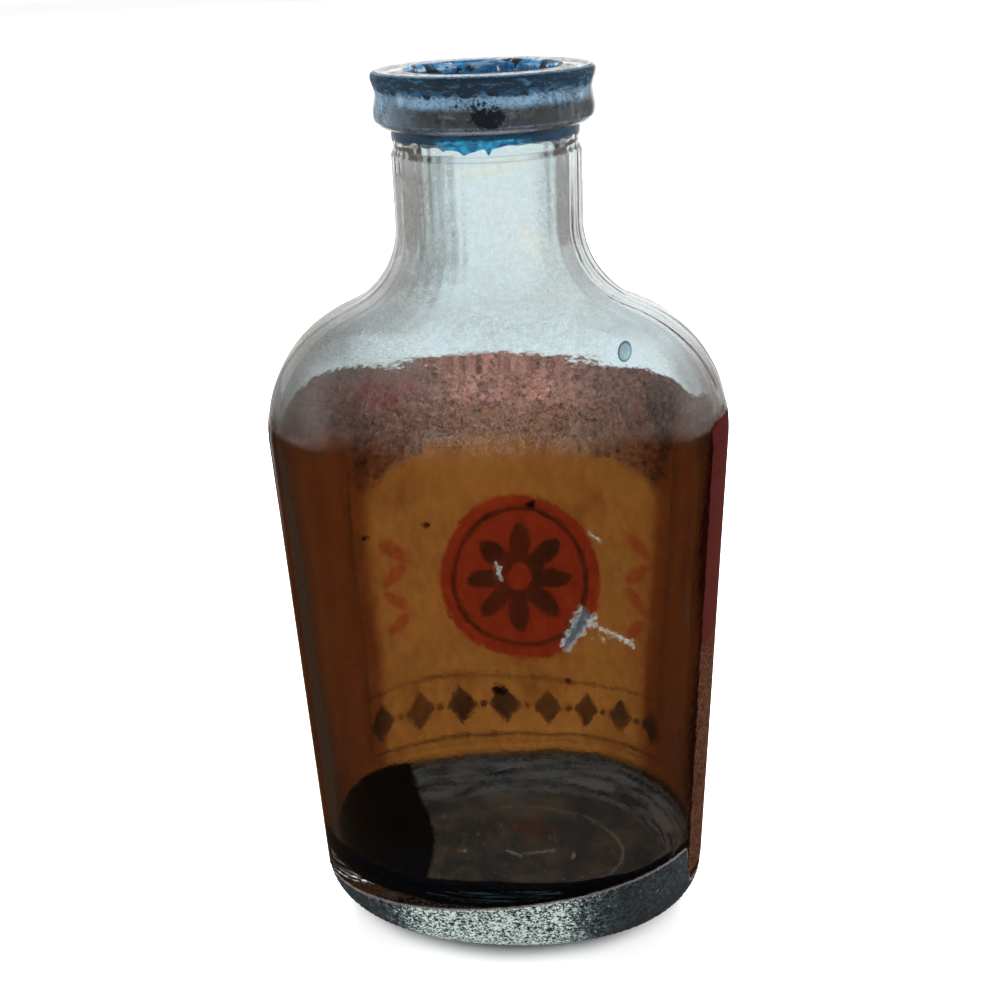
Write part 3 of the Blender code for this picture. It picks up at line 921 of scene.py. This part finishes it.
stains = {
    "sunk": 0.00002,
    "thickness": 0.0001,
    "boreLow": 0.0115,
    "lipReach": 0.0179,
    "collarHigh": 0.0009,
    "collarLow": 0.008,
    "collarHalfTurn": radians(88),
    "ringDrop": 0.0019,
    "ringNear": 0.0006,  # so much lower on the near side
    "nearTurn": radians(-96),
    "nearWidth": 0.3,
    "ringWave": 0.00022,
    "ringBulge": 0.00012,
    "ringGap": 0.00002,
    # drips of the ring: turn and half width in degrees, length
    "runs": ((-97.0, 2.2, 0.0005), (-82.5, 1.4, 0.0011), (-110.0, 1.6, 0.0004), (-38.0, 2.5, 0.0009)),
    "dropAcross": 0.0236,
    "dropHeight": 0.1203,
    "dropHalfWidth": 0.00115,
    "dropHalfHeight": 0.0013,
    "dropRise": 0.00025,
    "dropBlue": ((0.3, 0.53, 0.6), (0.14, 0.34, 0.43)),
    "mouthBlue": ((0.006, 0.13, 0.36), (0.06, 0.38, 0.7)),
    "collarNavy": ((0.004, 0.011, 0.02), (0.01, 0.036, 0.07)),
    "collarPale": ((0.05, 0.14, 0.22), (0.42, 0.72, 1.0)),
    "ringBright": ((0.003, 0.12, 0.29), (0.006, 0.38, 0.64)),
}


def makeMouthFilm(material):
    g, s = glass, stains
    turns = np.arange(220) * tau / 220
    skins = []
    for lift in (-s["sunk"], s["thickness"]):
        across = np.linspace(s["lipReach"], g["boreRadius"] + g["boreEdgeRound"], 9)[:-1]
        rows = [roundRing(radius, rimHeight + lift, turns) for radius in across]
        for turn in quarter(10):
            radius = g["boreRadius"] + (g["boreEdgeRound"] + lift) * (1.0 - sin(turn)) - lift
            height = rimHeight - g["boreEdgeRound"] + (g["boreEdgeRound"] + lift) * cos(turn)
            rows.append(roundRing(radius, height, turns))
        down = np.linspace(g["boreEdgeRound"], s["boreLow"], 24)[1:]
        rows += [innerRing(rimHeight - drop, lift, turns) for drop in down]
        skins.append(np.array(rows)[::-1])
    ridePiece(shellPiece("mouthStain", *skins[::-1], True, [material]), "bluing_film", "mouth_film")


def makeCollarStain(material):
    g, s = glass, stains
    turns = np.linspace(-s["collarHalfTurn"], s["collarHalfTurn"], 220) - pi / 2.0
    skins = []
    for outset in (-s["sunk"], s["thickness"]):
        drops = np.linspace(s["collarLow"], s["collarHigh"], 40)
        rows = [collarPoints(drop, outset, turns) for drop in drops]
        for turn in np.linspace(0.1, 1.4, 8):  # over the rounded edge of the lip
            out = g["lipRadius"] - g["collarDent"] - g["lipRound"] * (1.0 - cos(turn))
            up = rimHeight - g["lipRound"] * (1.0 - sin(turn))
            rows.append(roundRing(out + outset * cos(turn), up + outset * sin(turn), turns))
        skins.append(np.array(rows))
    ridePiece(shellPiece("collarStain", *skins, False, [material]), "bluing_crust", "collar_crust")


def makeDripRing(material):
    g, s = glass, stains
    turns = np.arange(420) * tau / 420
    low = s["ringDrop"] + s["ringNear"] * hump(turns, s["nearTurn"], s["nearWidth"])
    low += s["ringWave"] * Waves(61, 34, 0.05).at(turns, 0.0)
    for centre, width, length in s["runs"]:
        low += length * hump(turns, radians(centre), radians(width))
    skins = []
    for outset, bulge in ((-s["sunk"], 0.0), (s["thickness"], s["ringBulge"])):
        rows = []
        for share in np.linspace(0.0, 1.0, 16):
            radius = g["throatRadius"] - g["outerWave"] + (outset + bulge * sin(share * pi))
            rows.append(roundRing(radius, collarFoot - s["ringGap"] - low * (1.0 - share), turns))
        skins.append(np.array(rows))
    ridePiece(shellPiece("dripRing", *skins, True, [material]), "bright_bluing", "drip_ring")


def makeShoulderDrop(material):  # one dried drop on the bare side of the shoulder
    s = stains
    across, up = np.meshgrid(np.linspace(-1.0, 1.0, 15), np.linspace(-1.0, 1.0, 25))
    heights = s["dropHeight"] + up * s["dropHalfHeight"]
    places = s["dropAcross"] + across * s["dropHalfWidth"] * np.sqrt(np.maximum(1.0 - up**2, 0.02))
    turns = -np.arccos((places / outerLines[0].half(heights)) ** (squareness(heights) / 2.0))
    rise = np.maximum(1.0 - across**2, 0.0) * np.maximum(1.0 - up**2, 0.0)
    under = outerRing(heights, -s["sunk"], turns)
    over = outerRing(heights, s["sunk"] + s["dropRise"] * rise, turns)
    ridePiece(shellPiece("shoulderDrop", under, over, False, [material]), "bright_bluing")


def dropMaterial():
    material, place = placedMaterial("driedDrop")
    x, _, z = parts(place)
    fine = noise(place, 1.2, 3.0, 0.6)
    low = (z - stains["dropHeight"] / mm) / (stains["dropHalfHeight"] / mm)
    aside = (x - stains["dropAcross"] / mm) / (stains["dropHalfWidth"] / mm)
    rim = step(aside * aside + low * low + 0.5 * (fine - 0.5), 0.45, 0.85)
    upper = step(low + 1.2 * (fine - 0.5), -0.5, 0.7)
    colour = mix(upper, *stains["dropBlue"])
    colour = mix(rim * 0.8, colour, (0.03, 0.07, 0.1))
    cover = 0.42 + 0.35 * rim
    finish(principled(colour, 0.25 + 0.2 * fine, {"Alpha": cover}))
    return material


def mouthMaterial():
    material, place = placedMaterial("mouthBluing")
    x, y, z = parts(place)
    drop = rimHeight / mm - z
    patch = noise(place, 0.2, 5.0, 0.65, 0.6)
    fine = noise(place, 1.0, 4.0, 0.65)
    rings = noise(stretch(place, (0.2, 0.2, 1.0)), 1.4, 3.0, 0.6)
    blue = mix(step(fine, 0.35, 0.65), *stains["mouthBlue"])
    blue = mix(step(rings, 0.5, 0.6) * 0.8, blue, (0.5, 0.68, 0.78))
    colour = mix(step(patch + 0.3 * (fine - 0.5), 0.5, 0.56), blue, (0.008, 0.012, 0.018))
    far = root(x * x + y * y)
    lip = step(far, 13.0, 13.6)
    colour = mix(lip, colour, mix(fine, (0.02, 0.05, 0.08), (0.1, 0.17, 0.22)))
    cover = step(patch + 0.35 * (fine - 0.5), 0.3, 0.42) * step(drop, 10.5, 4.5)
    lipLines = step(noise(stretch(place, (0.4, 1.2, 1.0)), 1.3, 4.0, 0.7), 0.52, 0.64)
    cover = cover + (lipLines * 0.55 * step(far, 17.8, 17.0) - cover) * lip
    cover = cover * 0.95
    finish(principled(colour, 0.35 + 0.3 * fine, {"Alpha": cover}))
    return material


def collarMaterial():
    material, place = placedMaterial("collarCrust")
    x, y, z = parts(place)
    drop = rimHeight / mm - z
    patch = noise(stretch(place, (1.0, 1.0, 1.3)), 0.28, 5.0, 0.62, 0.3)
    fine = noise(place, 1.1, 4.0, 0.68)
    ragged = patch + 0.35 * (fine - 0.5)
    wander = wandered(place, 0.8, 1.6)
    crack = cells(wander, 0.9, "DISTANCE_TO_EDGE") + 0.1 * step(fine, 0.45, 0.65)
    band = step(drop + 3.4 * (ragged - 0.5), 3.3, 2.8)
    band = band * step(drop + 0.5 * (fine - 0.5), 0.0, 0.3)
    # the flaking patch in the middle of the back, with smaller flakes up to its left
    torn = noise(place, 1.2, 5.0, 0.8)
    flake = oval(x, drop, (2.2, 6.3), (2.7, 1.6), 8.0 * (torn - 0.5) + 4.0 * (patch - 0.5))
    crumb = oval(x, drop, (0.2, 4.6), (3.4, 1.3), 10.0 * (torn - 0.42) + 3.0 * (patch - 0.5))
    specks = step(ragged, 0.68, 0.71)
    solid = most(band, flake, specks, crumb)
    # darker grey over the lower bulge at the left
    low = step(drop, 4.3, 5.6) * step(drop, 8.2, 7.7) * step(x, -18.0, -8.0)
    runs = noise(stretch(place, (1.0, 1.0, 0.25)), 0.7, 3.0, 0.6)
    lowLeftGrey = low * (0.16 + 0.45 * step(patch + 0.5 * (runs - 0.5), 0.3, 0.65))
    pale = step(drop, 6.3, 4.7) * (0.4 + 0.45 * step(crack, 0.06, 0.02))
    navy = mix(fine, *stains["collarNavy"])
    creases = noise(stretch(wander, (0.35, 0.35, 2.2)), 1.0, 4.0, 0.7)
    navy = mix(step(creases, 0.54, 0.64) * 0.7, navy, (0.035, 0.13, 0.22))
    navy = mix(step(creases, 0.42, 0.34) * 0.8, navy, (0.003, 0.005, 0.008))
    navy = mix(most(flake, crumb), navy, (0.005, 0.009, 0.016))
    colour = mix(step(crack, 0.02, 0.08), *stains["collarPale"])
    colour = mix(step(creases, 0.57, 0.64) * 0.4, colour, (0.015, 0.06, 0.11))
    colour = mix(low, colour, (0.05, 0.052, 0.056))
    colour = mix(solid, colour, navy)
    hem = step(abs(drop - 3.1 + 4.0 * (ragged - 0.5)), 0.8, 0.3)
    hem = hem * step(fine + patch, 0.95, 1.1)
    colour = mix(hem * 0.8, colour, (0.004, 0.075, 0.18))
    # painted shade: dark vertical runs over the collar towards both its sides
    sideShade = step(abs(x), 8.0, 13.0) * step(runs, 0.34, 0.54)
    sideShade = most(sideShade, step(abs(x), 16.0, 18.2) * step(runs, 0.25, 0.4) * 1.3)
    colour = mix(sideShade * (1.0 - solid) * 0.7, colour, (0.025, 0.032, 0.038))
    ends = step(y, -0.5, -5.0)
    alpha = most(solid * 0.96, sideShade * 0.5, lowLeftGrey, pale) * ends
    surface = {"Specular IOR Level": 0.25, "Alpha": alpha, "Normal": bump(ragged + crack * 0.6, 0.0002, 0.6)}
    finish(principled(colour, 0.4 + 0.3 * fine, surface))
    return material


def dripMaterial():
    material, place = placedMaterial("freshBluing")
    x, y, z = parts(place)
    drop = collarFoot / mm - z
    fine = noise(place, 0.9, 4.0, 0.65)
    patch = noise(place, 0.22, 4.0, 0.6)
    centre = step(abs(x - 0.5 + 6.0 * (patch - 0.5)), 8.5, 5.0) * step(y, 0.0, -6.0)
    bright = mix(step(fine, 0.35, 0.65), *stains["ringBright"])
    colour = mix(centre, (0.003, 0.028, 0.06), bright)
    creases = noise(stretch(place, (0.3, 0.3, 2.4)), 1.0, 3.0, 0.6)
    colour = mix(step(creases, 0.52, 0.6) * 0.7, colour, (0.003, 0.045, 0.1))
    upper = step(drop + 1.2 * (fine - 0.5), 1.15, 0.75)
    colour = mix(upper * 0.85, colour, (0.003, 0.022, 0.05))
    solid = most(centre, step(drop + 1.6 * (patch - 0.5), 1.9, 1.4))
    cover = most(solid * 0.95, 0.62 * step(patch, 0.25, 0.5))
    finish(principled(colour, 0.22 + 0.2 * fine, {"Alpha": cover}))
    return material


makeMouthFilm(mouthMaterial())
makeCollarStain(collarMaterial())
makeDripRing(dripMaterial())
makeShoulderDrop(dropMaterial())
print("stains made")


# Stage: a plain pale floor, soft light from behind, and a card on the floor that only the glass sees

stage = {
    "floorHalf": 6.0,
    "floorGlow": 0.52,
    "footprint": (38.3, 26.4),
    "skyBehind": 1.15,
    "skyBeside": 0.62,
    "skyInFront": 0.16,
    "skyOverhead": 0.5,
    "behindTurn": radians(96),
    "cardHalf": 5.0,
    "cardHeight": 0.0004,
    "cardInner": (0.0325, 0.0212),
    "cardDark": (0.042, 0.024, 0.015),
    "cardBehind": 1.26,
    "stripGlow": 2.6,
    "stripTurns": (radians(52), radians(134)),
    "stripHalves": (0.075, 0.062),
    "stripHeights": (0.0008, 0.02),
    "cardElsewhere": 0.34,
    "lights": (
        ("backSoftbox", (-0.1, 0.95, 0.5), (0.9, 0.6), 38.0),
        ("leftSoftbox", (-0.85, 0.1, 0.35), (0.5, 0.5), 7.0),
        ("rightSoftbox", (0.85, 0.05, 0.35), (0.5, 0.5), 7.0),
    ),
    "lightAim": (0.0, 0.0, 0.06),
}


def makeFloor():
    material, place = placedMaterial("paleFloor")
    x, y, _ = parts(place)
    wide = x / stage["footprint"][0]
    deep = y / stage["footprint"][1]
    clear = step(wide * wide + deep * deep, 0.55, 0.95)  # no glow where the bottle stands
    white = tinted((1.0, 1.0, 1.0), clear)
    glow = {"Emission Color": white, "Emission Strength": stage["floorGlow"]}
    finish(principled((0.86, 0.86, 0.86), 0.9, glow))
    half = stage["floorHalf"]
    points = [(-half, -half, 0.0), (half, -half, 0.0), (half, half, 0.0), (-half, half, 0.0)]
    makeMesh("paleFloor", points, [(0, 1, 2, 3)], [material], False)


def hideFromEye(piece):
    for seen in ("visible_camera", "visible_diffuse", "visible_shadow"):
        setattr(piece, seen, False)


def makeCard():  # bright towards the back, dark round the foot, so the glass is edged as in a studio
    s = stage
    material, place = placedMaterial("gradedCard")
    x, y, _ = parts(place)
    far = root(x * x + y * y)
    ahead = (x * cos(s["behindTurn"]) + y * sin(s["behindTurn"])) / far
    lobe = step(ahead, 0.7, 0.99) * step(far, 160.0, 340.0)
    rest = step(far, 420.0, 750.0) * s["cardElsewhere"]
    light = most(lobe * s["cardBehind"], rest)
    white = added(tinted((1.0, 1.0, 1.0), light), s["cardDark"])
    finish(node("ShaderNodeEmission", {}, {"Color": white, "Strength": 1.0}))
    turns = np.linspace(0.0, tau, 96, endpoint=False)
    rings = []
    for wide, deep in (s["cardInner"], (0.2, 0.2), (s["cardHalf"], s["cardHalf"])):
        rings.append(ovalRing(wide, deep, 2.0, s["cardHeight"], turns))
    card = makeMesh("gradedCard", np.concatenate(rings), gridFaces(3, 96, 0, True), [material], False)
    hideFromEye(card)
    # a low lit strip behind the foot, for the thick glass of the base
    glow, board = newMaterial("stripGlow")
    glowing = {"Color": (1.0, 1.0, 1.0), "Strength": s["stripGlow"]}
    finish(board.node("ShaderNodeEmission", {}, glowing))
    turns = np.linspace(*s["stripTurns"], 40)
    rings = [ovalRing(*s["stripHalves"], 2.0, height, turns) for height in s["stripHeights"]]
    strip = makeMesh("footStrip", np.concatenate(rings), gridFaces(2, 40, 0, False), [glow], False)
    hideFromEye(strip)


def makeWorld():
    s = stage
    world = bpy.data.worlds.new("studio")
    bpy.context.scene.world = world
    world.use_nodes = True
    board = Board(world.node_tree)
    x, y, z = parts(board.node("ShaderNodeTexCoord", {}, {}, "Generated"))
    ahead = x * cos(s["behindTurn"]) + y * sin(s["behindTurn"])
    lobe = step(ahead, 0.6, 0.97) * step(z, 0.8, 0.45)
    around = s["skyInFront"] + (s["skyBeside"] - s["skyInFront"]) * step(ahead, -0.6, 0.2)
    around = around + (s["skyOverhead"] - around) * step(z, 0.4, 0.95)
    light = around + (s["skyBehind"] - around) * lobe
    sky = node("ShaderNodeBackground", {}, {"Color": (1.0, 1.0, 1.0), "Strength": light})
    finish(sky, "ShaderNodeOutputWorld")


def makeLights():
    for name, place, size, watts in stage["lights"]:
        lamp = bpy.data.lights.new(name, "AREA")
        lamp.shape = "RECTANGLE"
        lamp.size, lamp.size_y = size
        lamp.energy = watts
        holder = bpy.data.objects.new(name, lamp)
        holder.location = place
        aim = Vector(stage["lightAim"]) - Vector(place)
        holder.rotation_euler = aim.to_track_quat("-Z", "Y").to_euler()
        for seen in ("visible_camera", "visible_glossy", "visible_transmission"):
            setattr(holder, seen, False)
        bpy.context.scene.collection.objects.link(holder)


makeFloor()
makeCard()
makeWorld()
makeLights()
bpy.context.scene.view_settings.view_transform = "Standard"

# Camera: fitted to the bottle's outline

view = {
    "azimuth": radians(6.06),
    "distance": 0.2407,
    "height": 0.18454,
    "pitch": radians(22.09),
    "roll": radians(-2.271),
    "lens": 49.84,
}


def makeCamera():
    azimuth, pitch, roll = view["azimuth"], view["pitch"], view["roll"]
    level = cos(pitch)
    forward = Vector((-sin(azimuth) * level, cos(azimuth) * level, -sin(pitch)))
    right = Vector((cos(azimuth), sin(azimuth), 0.0))
    up = right.cross(forward)
    axisX = right * cos(roll) + up * sin(roll)
    axisY = up * cos(roll) - right * sin(roll)
    lens = bpy.data.cameras.new("photoCamera")
    lens.lens = view["lens"]
    lens.sensor_width = 36.0
    lens.clip_start = 0.01
    holder = bpy.data.objects.new("photoCamera", lens)
    turned = Matrix((axisX, axisY, -forward)).transposed().to_4x4()
    place = (view["distance"] * sin(azimuth), -view["distance"] * cos(azimuth), view["height"])
    holder.matrix_world = Matrix.Translation(place) @ turned
    bpy.context.scene.collection.objects.link(holder)
    bpy.context.scene.camera = holder


makeCamera()
print("stage and camera made")
